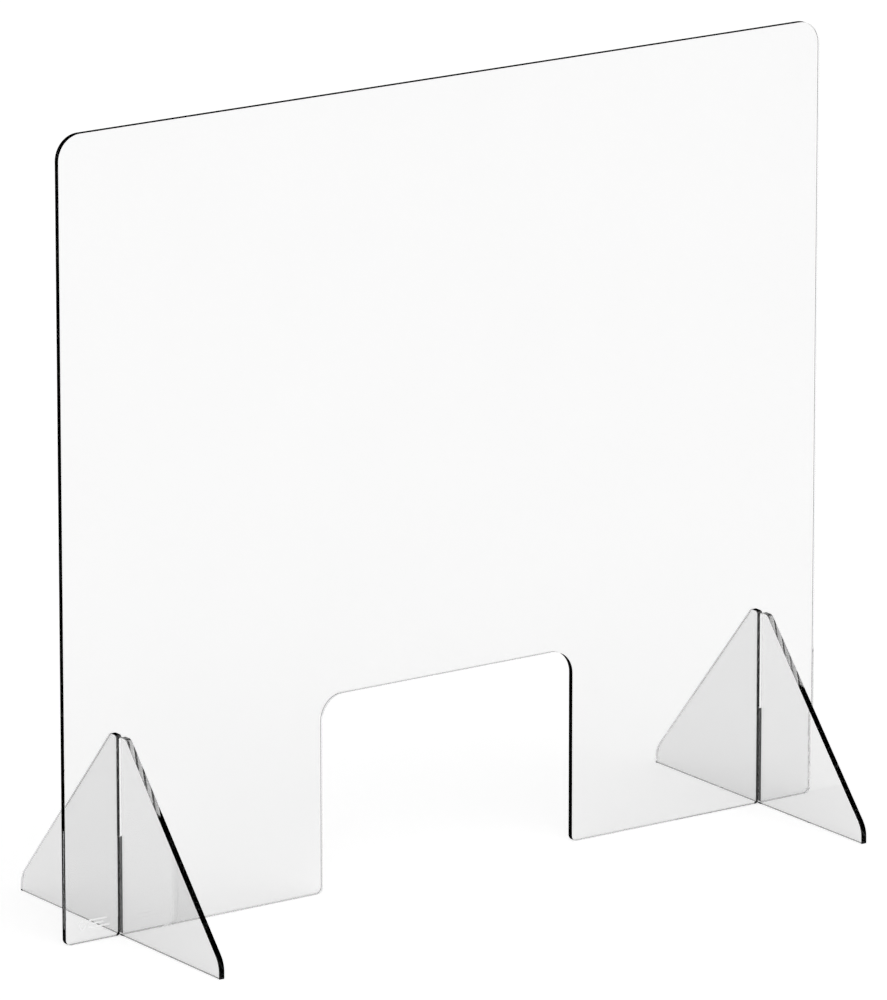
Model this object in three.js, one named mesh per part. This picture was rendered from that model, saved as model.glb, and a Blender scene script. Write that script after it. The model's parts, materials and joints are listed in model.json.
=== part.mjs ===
// Countertop sneeze guard: one clear acrylic panel that stands on two clear acrylic feet.
//
// Each foot crosses the panel in a halving joint. The panel is slotted up from its bottom edge and
// the foot is slotted down from its top. Each slot takes the other sheet's thickness, and the two
// slots meet at the lap height. Nothing is screwed or glued, so the guard comes apart by lifting the
// panel off its feet.
//
// Millimetres, +Z up. X runs along the panel and Y through its thickness. The origin is on the
// counter, under the middle of the panel.
import * as THREE from 'three';

const INCH = 25.4; // the guard is laid out in inches

// Panel
const PANEL_WIDTH = 36 * INCH;
const PANEL_HEIGHT = 32 * INCH;
const PANEL_THICKNESS = 0.25 * INCH;
const PANEL_TOP_RADIUS = 1 * INCH;
const PANEL_BOTTOM_RADIUS = 0.25 * INCH;

// Pass-through window, open to the panel's bottom edge
const WINDOW_WIDTH = 12 * INCH;
const WINDOW_HEIGHT = 8 * INCH;
const WINDOW_TOP_RADIUS = 1 * INCH;
const WINDOW_MOUTH_RADIUS = 0.25 * INCH;

// Feet
const FOOT_LENGTH = 14 * INCH; // along the counter, across the panel
const FOOT_HEIGHT = 8 * INCH;
const FOOT_THICKNESS = 0.25 * INCH;
const FOOT_TOP_LENGTH = 1.25 * INCH; // flat top, between its corners before they are rounded
const FOOT_END_HEIGHT = 0.625 * INCH; // upright end, up to its corner before it is rounded
const FOOT_TOP_RADIUS = 0.25 * INCH;
const FOOT_END_RADIUS = 1 * INCH;
const FOOT_INSET = 2.625 * INCH; // from the panel's side to the middle of the foot's thickness

// Halving joints
const LAP_HEIGHT = 4 * INCH; // where the panel's slot and the foot's slot meet
const SLOT_CLEARANCE = 0.3; // each side, between a slot and the sheet in it
const LAP_GAP = 0.3; // between the closed ends of the two slots
const SLOT_MOUTH_RADIUS = 0.125 * INCH; // lead-in at a slot's open end

const ARC_SEGMENTS = 8; // three.js draws an arc in twice this many straight steps

const CLEAR_ACRYLIC = { color: 0xf2f5f6, roughness: 0.05, metalness: 0, transparent: true, opacity: 0.35 };

// A corner of an outline: where two straight sides would meet, and the radius that rounds it.
const corner = (x, y, radius = 0) => ({ point: new THREE.Vector2(x, y), radius });

// The arc that rounds one corner, tangent to both sides.
function cornerArc(before, at, after) {
  const toBefore = before.point.clone().sub(at.point).normalize();
  const toAfter = after.point.clone().sub(at.point).normalize();
  const halfAngle = Math.acos(toBefore.dot(toAfter)) / 2;
  const bisector = toBefore.clone().add(toAfter).normalize();
  const centre = at.point.clone().addScaledVector(bisector, at.radius / Math.sin(halfAngle));
  const tangentLength = at.radius / Math.tan(halfAngle);
  const start = at.point.clone().addScaledVector(toBefore, tangentLength).sub(centre);
  const end = at.point.clone().addScaledVector(toAfter, tangentLength).sub(centre);
  return { centre, from: start.angle(), to: end.angle(), clockwise: start.cross(end) < 0 };
}

// A closed outline through the corners, each one rounded to its own radius.
function roundedOutline(corners) {
  const outline = new THREE.Shape();
  corners.forEach((at, i) => {
    const before = corners.at(i - 1);
    const after = corners[(i + 1) % corners.length];
    if (at.radius > 0) {
      const { centre, from, to, clockwise } = cornerArc(before, at, after);
      outline.absarc(centre.x, centre.y, at.radius, from, to, clockwise);
    } else if (i === 0) {
      outline.moveTo(at.point.x, at.point.y);
    } else {
      outline.lineTo(at.point.x, at.point.y);
    }
  });
  outline.closePath();
  return outline;
}

// A sheet cut to an outline, with its thickness centred on the outline's plane.
function cutSheet(name, outline, thickness) {
  const geometry = new THREE.ExtrudeGeometry(outline, {
    depth: thickness,
    bevelEnabled: false,
    curveSegments: ARC_SEGMENTS,
  });
  geometry.translate(0, 0, -thickness / 2);
  const sheet = new THREE.Mesh(geometry, new THREE.MeshStandardMaterial(CLEAR_ACRYLIC));
  sheet.name = name;
  return sheet;
}

// An opening cut up into the panel from its bottom edge, in the order that the outline meets its corners.
function bottomCut(middle, width, height, mouthRadius, topRadius = 0) {
  return [
    corner(middle - width / 2, 0, mouthRadius),
    corner(middle - width / 2, height, topRadius),
    corner(middle + width / 2, height, topRadius),
    corner(middle + width / 2, 0, mouthRadius),
  ];
}

function shieldPanel(footPositions) {
  const [leftFoot, rightFoot] = footPositions;
  const slotWidth = FOOT_THICKNESS + 2 * SLOT_CLEARANCE;
  const slotTop = LAP_HEIGHT + LAP_GAP / 2;
  const outline = roundedOutline([
    corner(-PANEL_WIDTH / 2, 0, PANEL_BOTTOM_RADIUS),
    ...bottomCut(leftFoot, slotWidth, slotTop, SLOT_MOUTH_RADIUS),
    ...bottomCut(0, WINDOW_WIDTH, WINDOW_HEIGHT, WINDOW_MOUTH_RADIUS, WINDOW_TOP_RADIUS),
    ...bottomCut(rightFoot, slotWidth, slotTop, SLOT_MOUTH_RADIUS),
    corner(PANEL_WIDTH / 2, 0, PANEL_BOTTOM_RADIUS),
    corner(PANEL_WIDTH / 2, PANEL_HEIGHT, PANEL_TOP_RADIUS),
    corner(-PANEL_WIDTH / 2, PANEL_HEIGHT, PANEL_TOP_RADIUS),
  ]);
  const panel = cutSheet('shield_panel', outline, PANEL_THICKNESS);
  panel.rotation.x = Math.PI / 2; // the outline's up becomes +Z
  return panel;
}

function foot(name, position) {
  const slotWidth = PANEL_THICKNESS + 2 * SLOT_CLEARANCE;
  const slotFloor = LAP_HEIGHT - LAP_GAP / 2;
  const outline = roundedOutline([
    corner(-FOOT_LENGTH / 2, 0),
    corner(FOOT_LENGTH / 2, 0),
    corner(FOOT_LENGTH / 2, FOOT_END_HEIGHT, FOOT_END_RADIUS),
    corner(FOOT_TOP_LENGTH / 2, FOOT_HEIGHT, FOOT_TOP_RADIUS),
    corner(slotWidth / 2, FOOT_HEIGHT, SLOT_MOUTH_RADIUS),
    corner(slotWidth / 2, slotFloor),
    corner(-slotWidth / 2, slotFloor),
    corner(-slotWidth / 2, FOOT_HEIGHT, SLOT_MOUTH_RADIUS),
    corner(-FOOT_TOP_LENGTH / 2, FOOT_HEIGHT, FOOT_TOP_RADIUS),
    corner(-FOOT_LENGTH / 2, FOOT_END_HEIGHT, FOOT_END_RADIUS),
  ]);
  const piece = cutSheet(name, outline, FOOT_THICKNESS);
  piece.rotation.set(Math.PI / 2, Math.PI / 2, 0); // the outline's right becomes +Y, and its up +Z
  piece.position.x = position;
  return piece;
}

function sneezeGuard() {
  const footPosition = PANEL_WIDTH / 2 - FOOT_INSET;
  const guard = new THREE.Group();
  guard.add(
    shieldPanel([-footPosition, footPosition]),
    foot('left_foot', -footPosition),
    foot('right_foot', footPosition),
  );
  return guard;
}

export default sneezeGuard();
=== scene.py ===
import json
import math

import bmesh
import bpy
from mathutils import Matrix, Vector


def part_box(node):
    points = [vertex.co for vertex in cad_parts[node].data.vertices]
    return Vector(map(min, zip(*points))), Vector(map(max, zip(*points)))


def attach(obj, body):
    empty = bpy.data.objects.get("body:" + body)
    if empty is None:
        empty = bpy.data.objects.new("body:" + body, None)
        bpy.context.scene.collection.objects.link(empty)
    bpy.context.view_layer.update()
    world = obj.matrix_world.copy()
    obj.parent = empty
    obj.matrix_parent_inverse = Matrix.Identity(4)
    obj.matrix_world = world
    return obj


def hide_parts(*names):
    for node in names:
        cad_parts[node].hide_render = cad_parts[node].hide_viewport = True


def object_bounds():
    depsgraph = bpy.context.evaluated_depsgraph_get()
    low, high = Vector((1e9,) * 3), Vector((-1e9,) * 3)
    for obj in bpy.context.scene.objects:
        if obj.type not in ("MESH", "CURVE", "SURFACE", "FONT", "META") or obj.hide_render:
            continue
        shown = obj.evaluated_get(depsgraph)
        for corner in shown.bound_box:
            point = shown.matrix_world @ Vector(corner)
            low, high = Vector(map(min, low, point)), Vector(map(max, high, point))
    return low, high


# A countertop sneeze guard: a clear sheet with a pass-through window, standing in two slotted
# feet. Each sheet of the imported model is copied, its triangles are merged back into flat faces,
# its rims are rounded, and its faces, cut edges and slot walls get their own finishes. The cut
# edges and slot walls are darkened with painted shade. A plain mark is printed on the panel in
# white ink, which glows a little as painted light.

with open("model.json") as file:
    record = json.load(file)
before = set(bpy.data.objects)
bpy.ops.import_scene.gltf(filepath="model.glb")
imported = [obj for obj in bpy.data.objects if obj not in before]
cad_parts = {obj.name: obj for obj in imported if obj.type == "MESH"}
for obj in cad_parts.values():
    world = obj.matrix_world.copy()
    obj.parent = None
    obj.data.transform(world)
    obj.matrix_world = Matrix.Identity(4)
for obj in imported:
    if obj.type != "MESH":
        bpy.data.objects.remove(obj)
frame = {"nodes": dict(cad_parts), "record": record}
cad_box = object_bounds()
X, Y, Z = 0, 1, 2

# ---------------------------------------------------------------- camera
AZIMUTH = math.radians(-35.0)
ELEVATION = math.radians(15.12)
DISTANCE = 10.139
LENS_MM = 367.3
SENSOR_MM = 36.0
AIM = Vector((-0.004, 0.0, 0.3817))
CLIP_END = 100.0

# ---------------------------------------------------------------- studio
BACKDROP_LEVEL = 1.06       # white seen straight or through the sheets
FLOOR_GLOW = 0.66           # light from under the floor, as in a shadowless product table
FLOOR_LIGHT_LEVEL = 0.444   # light that falls on the floor from above
LIGHT_SIDE = Vector((-0.3, -0.954, 0.0))    # where more of that light comes from
LIGHT_LEAN = 1.0            # the share by which that side is brighter than straight above
FLOOR_WHITE = 0.9
FLOOR_ROUGHNESS = 0.9
MIRROR_LEVEL = 0.0          # surroundings mirrored in a sheet's outer surfaces
TURNED_LEVEL = 0.9          # surroundings seen by light that was turned once inside a sheet
LOST_LEVEL = 0.03           # surroundings seen by light that was turned more often
FLOOR_HALF_SIZE = 15.0
FLOOR_DROP = 0.0005         # keeps the floor just clear of the sheets' lower edges
LIGHT_BOUNCES = 10          # light that has met more surfaces than this is lost
WHITE = (1.0, 1.0, 1.0, 1.0)

# ---------------------------------------------------------------- sheets
WELD = 1e-5                 # points closer than this are one point
FLAT = math.radians(0.5)    # triangles that meet at less than this are one flat face
SHARP = math.radians(15.0)  # edges with a larger angle than this stay sharp
BROAD = 0.9                 # a sheet's two faces: their normals lie along its thickness
RIM_ROUND = 0.0004
RIM_STEPS = 2
RIM_PROFILE = 0.5           # a circular arc
RIM = 0.1                   # the rounded rims: their normals lean towards its thickness
FACE, EDGE, SLOT = 0, 1, 2  # where a sheet's finishes are in its list of materials

# ---------------------------------------------------------------- acrylic
ACRYLIC_IOR = 1.49
PLAIN_SHINE = 0.5           # mirrors as much as its IOR says
PANEL_TINT = 0.945
FOOT_TINT = 0.845
# painted shade: the cut edges are coloured darker than the faces, standing in for the dark look
# that dark surroundings give them
EDGE_PAINTED_SHADE = 0.6
# painted shade: the slot walls are opaque and nearly black, standing in for the shade inside the
# slots
SLOT_PAINTED_SHADE = 0.012
SLOT_SHINE = 0.0            # a slot wall mirrors nothing, so that it stays dark: painted shade
NOISE_SPAN = (0.3, 0.7)     # where nearly all of a noise texture's values lie
NOISE_DETAIL = 2.0
FULL_SPAN = (0.0, 1.0)

CLOUD_SIZE = 0.12           # faint clouding in the sheet
CLOUD_DRIFT = 0.003
SCRATCH_LENGTH = 0.09       # hairlines left by wiping
SCRATCH_WIDTH = 0.0012
SCRATCH_TURNS = (0.35, -0.5, 1.3)   # the directions they lie in, in radians
SCRATCH_LEVELS = (0.72, 0.78)   # only the peaks of the noise become scratches
SCRATCH_DETAIL = 0.0
SCRATCH_ROUGHNESS = 0.12
SCRATCH_DEPTH = 2e-6

STRIA_PITCH = 0.0005        # fine lines that the cutter leaves across an edge
STRIA_LENGTH = 0.02
EDGE_DRIFT = 0.03
EDGE_ROUGHNESS = (0.0, 0.01)
EDGE_DEPTH = 3e-7
SLOT_DRIFT = 0.006
SLOT_ROUGHNESS = (0.25, 0.45)
SLOT_DEPTH = 1e-5

# ---------------------------------------------------------------- printed mark
MARK_INSET = 0.015          # from the panel's side to the mark
MARK_RISE = 0.0135          # from the panel's lower edge to the mark
MARK_HEIGHT = 0.009
MARK_RING = 0.0014          # the width of the ring's line
MARK_GAP = 0.003
MARK_BARS = (0.024, 0.017, 0.021)   # the bars' lengths, from the lowest up
MARK_BAR_HEIGHT = 0.0015
MARK_STEPS = 48             # points round the ring
INK_DEPTH = 0.00004         # how thick the ink is
INK_GAP = 0.00002           # between the ink and the sheet
INK_WHITE = 0.93
INK_DRIFT = 0.03
INK_GRAIN = 0.0006
INK_ROUGHNESS = (0.45, 0.65)
INK_GLOW = 0.15             # painted light: the ink glows, which keeps it whiter than the sheet behind it


def add_camera():
    toward = Vector((
        math.sin(AZIMUTH) * math.cos(ELEVATION),
        -math.cos(AZIMUTH) * math.cos(ELEVATION),
        math.sin(ELEVATION),
    ))
    data = bpy.data.cameras.new("camera")
    data.lens = LENS_MM
    data.sensor_width = SENSOR_MM
    data.clip_end = CLIP_END
    camera = bpy.data.objects.new("camera", data)
    camera.location = AIM + toward * DISTANCE
    camera.rotation_euler = toward.to_track_quat("Z", "Y").to_euler()
    bpy.context.scene.collection.objects.link(camera)
    bpy.context.scene.camera = camera


# ---------------------------------------------------------------- node helpers
def at_least(tree, value, count):
    """1 where a whole number is count or more, and 0 where it is less."""
    test = tree.nodes.new("ShaderNodeMath")
    test.operation = "GREATER_THAN"
    test.inputs[1].default_value = count - 0.5
    tree.links.new(value, test.inputs[0])
    return test.outputs[0]


def mixed(tree, factor, first, second):
    """The first shader where the factor is 0, and the second where it is 1."""
    mix = tree.nodes.new("ShaderNodeMixShader")
    tree.links.new(factor, mix.inputs[0])
    tree.links.new(first, mix.inputs[1])
    tree.links.new(second, mix.inputs[2])
    return mix.outputs[0]


def background(tree, level):
    shader = tree.nodes.new("ShaderNodeBackground")
    shader.inputs["Color"].default_value = WHITE
    shader.inputs["Strength"].default_value = level
    return shader.outputs[0]


def noise(tree, cell, turn=(0.0, 0.0, 0.0), detail=NOISE_DETAIL):
    """Noise on the object's own coordinates, with cells of the given size in metres."""
    where = tree.nodes.new("ShaderNodeTexCoord")
    fitted = tree.nodes.new("ShaderNodeMapping")
    fitted.vector_type = "TEXTURE"
    fitted.inputs["Rotation"].default_value = turn
    fitted.inputs["Scale"].default_value = cell
    texture = tree.nodes.new("ShaderNodeTexNoise")
    texture.inputs["Scale"].default_value = 1.0
    texture.inputs["Detail"].default_value = detail
    tree.links.new(where.outputs["Object"], fitted.inputs["Vector"])
    tree.links.new(fitted.outputs["Vector"], texture.inputs["Vector"])
    return texture.outputs[0]


def ranged(tree, value, source, target):
    """The value with its source range spread over the target range, and held at its ends."""
    change = tree.nodes.new("ShaderNodeMapRange")
    change.inputs["From Min"].default_value = source[0]
    change.inputs["From Max"].default_value = source[1]
    change.inputs["To Min"].default_value = target[0]
    change.inputs["To Max"].default_value = target[1]
    tree.links.new(value, change.inputs["Value"])
    return change.outputs[0]


def around(level, drift):
    return (level - drift, level + drift)


def largest(tree, first, second):
    pick = tree.nodes.new("ShaderNodeMath")
    pick.operation = "MAXIMUM"
    tree.links.new(first, pick.inputs[0])
    tree.links.new(second, pick.inputs[1])
    return pick.outputs[0]


def bumped(tree, shader, height, depth):
    bump = tree.nodes.new("ShaderNodeBump")
    bump.inputs["Distance"].default_value = depth
    tree.links.new(height, bump.inputs["Height"])
    tree.links.new(bump.outputs["Normal"], shader.inputs["Normal"])


# ---------------------------------------------------------------- studio
def leaning_light(tree):
    """The light on the floor: stronger from LIGHT_SIDE, and weaker from across it."""
    where = tree.nodes.new("ShaderNodeTexCoord")
    toward = tree.nodes.new("ShaderNodeVectorMath")
    toward.operation = "DOT_PRODUCT"
    toward.inputs[1].default_value = LIGHT_SIDE
    strength = tree.nodes.new("ShaderNodeMath")
    strength.operation = "MULTIPLY_ADD"
    strength.use_clamp = True
    strength.inputs[1].default_value = FLOOR_LIGHT_LEVEL * LIGHT_LEAN
    strength.inputs[2].default_value = FLOOR_LIGHT_LEVEL
    light = background(tree, FLOOR_LIGHT_LEVEL)
    tree.links.new(where.outputs["Generated"], toward.inputs[0])
    tree.links.new(toward.outputs["Value"], strength.inputs[0])
    tree.links.new(strength.outputs[0], light.node.inputs["Strength"])
    return light


def add_world():
    """A white surround that is dark where a polished surface mirrors it, as with black cards."""
    world = bpy.data.worlds.new("studio")
    bpy.context.scene.world = world
    world.use_nodes = True
    # With automatic sampling, everything seen through the sheets comes out too bright.
    world.cycles.sampling_method = "NONE"
    tree = world.node_tree
    tree.nodes.remove(tree.nodes["Background"])
    path = tree.nodes.new("ShaderNodeLightPath")
    mirrored = background(tree, MIRROR_LEVEL)
    turned = background(tree, TURNED_LEVEL)
    turned_once = mixed(tree, path.outputs["Is Reflection Ray"], turned, mirrored)
    turns = path.outputs["Glossy Depth"]
    inside = mixed(tree, at_least(tree, turns, 2), turned_once, background(tree, LOST_LEVEL))
    seen = mixed(tree, at_least(tree, turns, 1), background(tree, BACKDROP_LEVEL), inside)
    spread = path.outputs["Diffuse Depth"]
    lit = mixed(tree, at_least(tree, spread, 1), seen, leaning_light(tree))
    tree.links.new(lit, tree.nodes["World Output"].inputs["Surface"])


def floor_material():
    material = bpy.data.materials.new("white_floor")
    material.use_nodes = True
    shader = material.node_tree.nodes["Principled BSDF"]
    shader.inputs["Base Color"].default_value = (FLOOR_WHITE, FLOOR_WHITE, FLOOR_WHITE, 1.0)
    shader.inputs["Roughness"].default_value = FLOOR_ROUGHNESS
    shader.inputs["Specular IOR Level"].default_value = 0.0
    shader.inputs["Emission Color"].default_value = WHITE
    shader.inputs["Emission Strength"].default_value = FLOOR_GLOW
    return material


def add_floor():
    half = FLOOR_HALF_SIZE
    mesh = bpy.data.meshes.new("floor")
    corners = [(-half, -half, 0), (half, -half, 0), (half, half, 0), (-half, half, 0)]
    mesh.from_pydata(corners, [], [(0, 1, 2, 3)])
    mesh.materials.append(floor_material())
    floor = bpy.data.objects.new("floor", mesh)
    floor.location.z = cad_box[0][Z] - FLOOR_DROP
    floor.visible_glossy = False
    bpy.context.scene.collection.objects.link(floor)


# ---------------------------------------------------------------- finishes
def plastic(name, clear, shine=PLAIN_SHINE):
    """A plastic and its tree and shader, which are to be given textures."""
    material = bpy.data.materials.new(name)
    material.use_nodes = True
    shader = material.node_tree.nodes["Principled BSDF"]
    shader.inputs["Transmission Weight"].default_value = clear
    shader.inputs["Specular IOR Level"].default_value = shine
    shader.inputs["IOR"].default_value = ACRYLIC_IOR
    return material, material.node_tree, shader


def hairlines(tree, axis):
    """Long thin scratches in a few directions, on a sheet that is thin along axis."""
    cell = (SCRATCH_LENGTH, SCRATCH_LENGTH, SCRATCH_WIDTH)
    lines = None
    for angle in SCRATCH_TURNS:
        turn = [0.0, 0.0, 0.0]
        turn[axis] = angle
        one = ranged(tree, noise(tree, cell, turn, SCRATCH_DETAIL), SCRATCH_LEVELS, FULL_SPAN)
        lines = largest(tree, lines, one) if lines else one
    return lines


def clear_face(name, tint, axis):
    """Polished clear sheet, faintly clouded, with a few hairline scratches."""
    material, tree, shader = plastic(name, 1.0)
    cloud = noise(tree, (CLOUD_SIZE, CLOUD_SIZE, CLOUD_SIZE))
    colour = ranged(tree, cloud, NOISE_SPAN, around(tint, CLOUD_DRIFT))
    lines = hairlines(tree, axis)
    roughness = ranged(tree, lines, FULL_SPAN, (0.0, SCRATCH_ROUGHNESS))
    tree.links.new(colour, shader.inputs["Base Color"])
    tree.links.new(roughness, shader.inputs["Roughness"])
    bumped(tree, shader, lines, -SCRATCH_DEPTH)
    return material


def cut_lines(tree, shader, axis, colours, roughness, depth):
    """Fine lines across a cut surface, along the sheet's thin axis."""
    cell = [STRIA_PITCH, STRIA_PITCH, STRIA_PITCH]
    cell[axis] = STRIA_LENGTH
    lines = noise(tree, cell)
    tree.links.new(ranged(tree, lines, NOISE_SPAN, colours), shader.inputs["Base Color"])
    tree.links.new(ranged(tree, lines, NOISE_SPAN, roughness), shader.inputs["Roughness"])
    bumped(tree, shader, lines, depth)


# Painted shade: the edge is coloured darker than the sheet's faces. Its fine cut lines are real.
def polished_edge_with_painted_shade(name, axis):
    material, tree, shader = plastic(name, 1.0)
    cut_lines(tree, shader, axis, around(EDGE_PAINTED_SHADE, EDGE_DRIFT), EDGE_ROUGHNESS, EDGE_DEPTH)
    return material


# Painted shade: the slot wall is opaque, nearly black and mirrors nothing. Its cut lines and
# roughness are real.
def sawn_slot_with_painted_shade(name, axis):
    material, tree, shader = plastic(name, 0.0, SLOT_SHINE)
    cut_lines(tree, shader, axis, around(SLOT_PAINTED_SHADE, SLOT_DRIFT), SLOT_ROUGHNESS, SLOT_DEPTH)
    return material


def white_ink():
    """Screen-printed ink, with a fine uneven grain. It glows a little: painted light."""
    material, tree, shader = plastic("white_ink", 0.0)
    grain = noise(tree, (INK_GRAIN, INK_GRAIN, INK_GRAIN))
    colour = ranged(tree, grain, NOISE_SPAN, around(INK_WHITE, INK_DRIFT))
    tree.links.new(colour, shader.inputs["Base Color"])
    tree.links.new(ranged(tree, grain, NOISE_SPAN, INK_ROUGHNESS), shader.inputs["Roughness"])
    # Painted light: the ink glows a little, though it is no lamp.
    shader.inputs["Emission Color"].default_value = WHITE
    shader.inputs["Emission Strength"].default_value = INK_GLOW
    return material


# ---------------------------------------------------------------- pieces
def add_piece(name, bm, materials, body):
    mesh = bpy.data.meshes.new(name)
    bm.to_mesh(mesh)
    bm.free()
    for material in materials:
        mesh.materials.append(material)
    piece = bpy.data.objects.new(name, mesh)
    bpy.context.scene.collection.objects.link(piece)
    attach(piece, body)
    return piece


def finish_of(face, axis, slots):
    """Which finish a face of a sheet has. slots are boxes that hold the walls of its slots."""
    if abs(face.normal[axis]) > RIM:
        return FACE
    middle = face.calc_center_median()
    for low, high in slots:
        if all(low[i] < middle[i] < high[i] for i in (X, Y, Z)):
            return SLOT
    return EDGE


def sheet(name, node, body, axis, materials, slots=()):
    """A copy of a packed sheet that is thin along axis, with rounded rims and three finishes."""
    bm = bmesh.new()
    bm.from_mesh(frame["nodes"][node].data)
    bmesh.ops.remove_doubles(bm, verts=bm.verts, dist=WELD)
    bmesh.ops.dissolve_limit(bm, angle_limit=FLAT, verts=bm.verts, edges=bm.edges)
    broad = {face for face in bm.faces if abs(face.normal[axis]) > BROAD}
    rims = [side for side in bm.edges if len(broad.intersection(side.link_faces)) == 1]
    bmesh.ops.bevel(
        bm, geom=rims, offset=RIM_ROUND, segments=RIM_STEPS, profile=RIM_PROFILE,
        affect="EDGES", clamp_overlap=True,
    )
    for face in bm.faces:
        face.material_index = finish_of(face, axis, slots)
        face.smooth = True
    for side in bm.edges:
        side.smooth = side.is_manifold and side.calc_face_angle() < SHARP
    piece = add_piece(name, bm, materials, body)
    even = piece.modifiers.new("even_normals", "WEIGHTED_NORMAL")
    even.keep_sharp = True
    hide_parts(node)


def slot_boxes():
    """Boxes round the panel's two slots, which are as deep as the panel lifts to come free.

    Each box is about a foot's thickness wider and taller than its slot.
    """
    joints = {joint["name"]: joint for joint in frame["record"]["behaviour"]["joints"]}
    lap = joints["panel_lift"]["range_m"][1]
    boxes = []
    for foot in ("left_foot", "right_foot"):
        low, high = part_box(foot)
        thick = high[X] - low[X]
        start = (low[X] - thick / 2, low[Y], low[Z])
        end = (high[X] + thick / 2, high[Y], lap + thick)
        boxes.append((start, end))
    return boxes


def add_sheets():
    panel_edge = polished_edge_with_painted_shade("panel_edge", Y)
    foot_edge = polished_edge_with_painted_shade("foot_edge", X)
    panel = (clear_face("panel_face", PANEL_TINT, Y), panel_edge, sawn_slot_with_painted_shade("slot_wall", Y))
    foot = (clear_face("foot_face", FOOT_TINT, X), foot_edge)
    sheet("panel_sheet", "shield_panel", "panel", Y, panel, slot_boxes())
    sheet("left_foot_sheet", "left_foot", "left_foot", X, foot)
    sheet("right_foot_sheet", "right_foot", "right_foot", X, foot)


def circle(radius, middle):
    x, z = middle
    angles = [math.tau * step / MARK_STEPS for step in range(MARK_STEPS)]
    return [(x + radius * math.cos(angle), z + radius * math.sin(angle)) for angle in angles]


def rectangle(start, wide, tall):
    x, z = start
    return [(x, z), (x + wide, z), (x + wide, z + tall), (x, z + tall)]


def band(bm, first, second):
    """Faces between two closed rows of as many points."""
    for i in range(len(first)):
        bm.faces.new((first[i - 1], first[i], second[i], second[i - 1]))


def rows(bm, outline, back):
    """An outline's points on the sheet, and again at the front of the ink."""
    return [[bm.verts.new((x, y, z)) for x, z in outline] for y in (back, back - INK_DEPTH)]


def add_mark():
    """A plain ring with three bars beside it, printed on the front of the panel."""
    low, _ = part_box("shield_panel")
    back = low[Y] - INK_GAP
    left = low[X] + MARK_INSET
    bottom = low[Z] + MARK_RISE
    radius = MARK_HEIGHT / 2
    middle = (left + radius, bottom + radius)
    bm = bmesh.new()
    outer_back, outer_front = rows(bm, circle(radius, middle), back)
    inner_back, inner_front = rows(bm, circle(radius - MARK_RING, middle), back)
    band(bm, outer_back, outer_front)
    band(bm, outer_front, inner_front)
    band(bm, inner_front, inner_back)
    band(bm, inner_back, outer_back)
    pitch = (MARK_HEIGHT - MARK_BAR_HEIGHT) / (len(MARK_BARS) - 1)
    for i, length in enumerate(MARK_BARS):
        start = (left + MARK_HEIGHT + MARK_GAP, bottom + i * pitch)
        bar_back, bar_front = rows(bm, rectangle(start, length, MARK_BAR_HEIGHT), back)
        band(bm, bar_back, bar_front)
        bm.faces.new(bar_back)
        bm.faces.new(bar_front)
    bmesh.ops.recalc_face_normals(bm, faces=bm.faces)
    add_piece("printed_mark", bm, (white_ink(),), "panel")


scene = bpy.context.scene
scene.view_settings.view_transform = "Standard"
scene.cycles.max_bounces = LIGHT_BOUNCES
scene.cycles.glossy_bounces = LIGHT_BOUNCES
add_camera()
add_world()
add_floor()
add_sheets()
add_mark()
